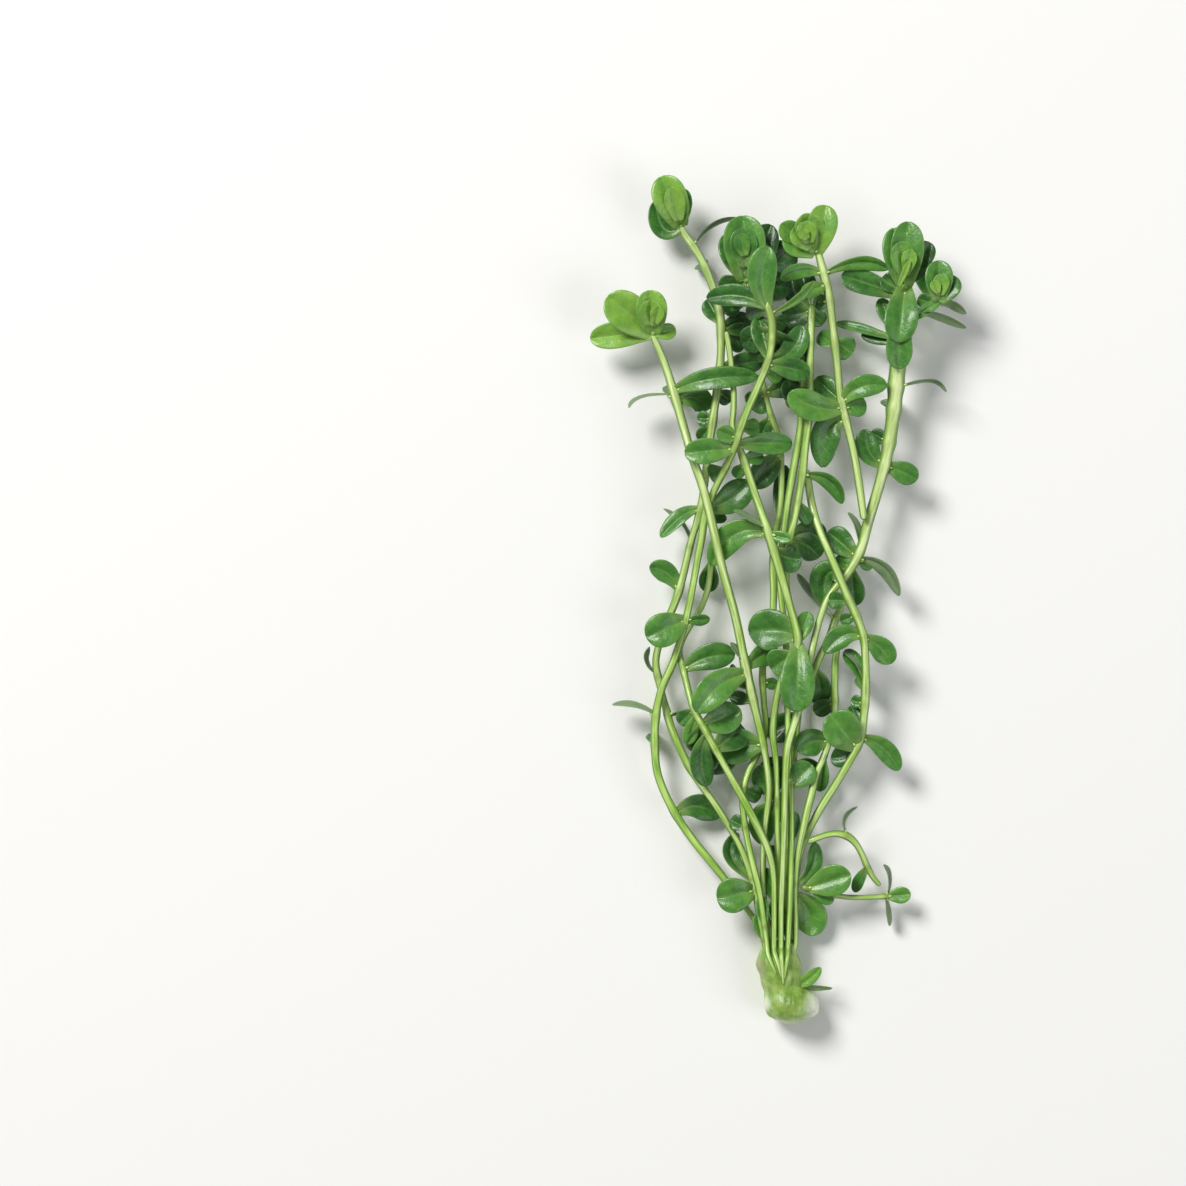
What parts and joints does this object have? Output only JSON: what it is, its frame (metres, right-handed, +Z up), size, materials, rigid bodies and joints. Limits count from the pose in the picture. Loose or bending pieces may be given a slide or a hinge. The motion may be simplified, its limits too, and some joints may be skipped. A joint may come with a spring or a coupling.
{
  "type": "aquarium plant bunch",
  "caption": "Cut bunch of an aquarium stem plant lying on its side: long pale stems with paired fleshy green leaves, crowns of young leaves at the tips and a thick foot.",
  "frame": {"origin": "middle of the bunch's outline as seen from above, on the surface that it lies on", "axes": "+Y along the bunch from the foot to the leaf tips, +Z up from the surface, +X to the right as seen from above with the tips away"},
  "size_m": [0.0799, 0.1801, 0.0202],
  "materials": {
    "stem_flesh": "satin",
    "leaf_flesh": "satin",
    "young_leaf_flesh": "satin",
    "foot_flesh": "satin"
  },
  "bodies": {
    "root": {"crown_a": "young_leaf_flesh", "crown_b": "young_leaf_flesh", "crown_c": "young_leaf_flesh", "crown_i": "young_leaf_flesh", "crown_j": "young_leaf_flesh", "foot": "foot_flesh", "leaf_a2": "leaf_flesh", "leaf_a5": "leaf_flesh", "leaf_a7": "leaf_flesh", "leaf_b11": "leaf_flesh", "leaf_b3": "leaf_flesh", "leaf_b7": "leaf_flesh", "leaf_c10": "leaf_flesh", "leaf_c11": "leaf_flesh", "leaf_c15": "leaf_flesh", "leaf_c2": "leaf_flesh", "leaf_c5": "leaf_flesh", "leaf_c6": "leaf_flesh", "leaf_c7": "leaf_flesh", "leaf_c8": "leaf_flesh", "leaf_d1": "leaf_flesh", "leaf_d3": "leaf_flesh", "leaf_d5": "leaf_flesh", "leaf_e1": "leaf_flesh", "leaf_e4": "leaf_flesh", "leaf_e6": "leaf_flesh", "leaf_e9": "leaf_flesh", "leaf_f1": "leaf_flesh", "leaf_h1": "leaf_flesh", "leaf_i3": "leaf_flesh", "leaf_i4": "leaf_flesh", "leaf_i5": "leaf_flesh", "leaf_i6": "leaf_flesh", "leaf_j1": "leaf_flesh", "leaf_j4": "leaf_flesh", "leaf_j6": "leaf_flesh", "leaf_j8": "leaf_flesh", "leaf_k1": "leaf_flesh", "leaf_k2": "leaf_flesh", "leaf_k4": "leaf_flesh", "leaf_k6": "leaf_flesh", "leaf_m4": "leaf_flesh", "shoot_lower": "stem_flesh", "shoot_upper": "stem_flesh", "stem_a": "stem_flesh", "stem_b": "stem_flesh", "stem_c": "stem_flesh", "stem_d": "stem_flesh", "stem_e": "stem_flesh", "stem_f": "stem_flesh", "stem_g": "stem_flesh", "stem_h": "stem_flesh", "stem_i": "stem_flesh", "stem_j": "stem_flesh", "stem_k": "stem_flesh", "stem_l": "stem_flesh", "stem_m": "stem_flesh"}
  },
  "joints": []
}
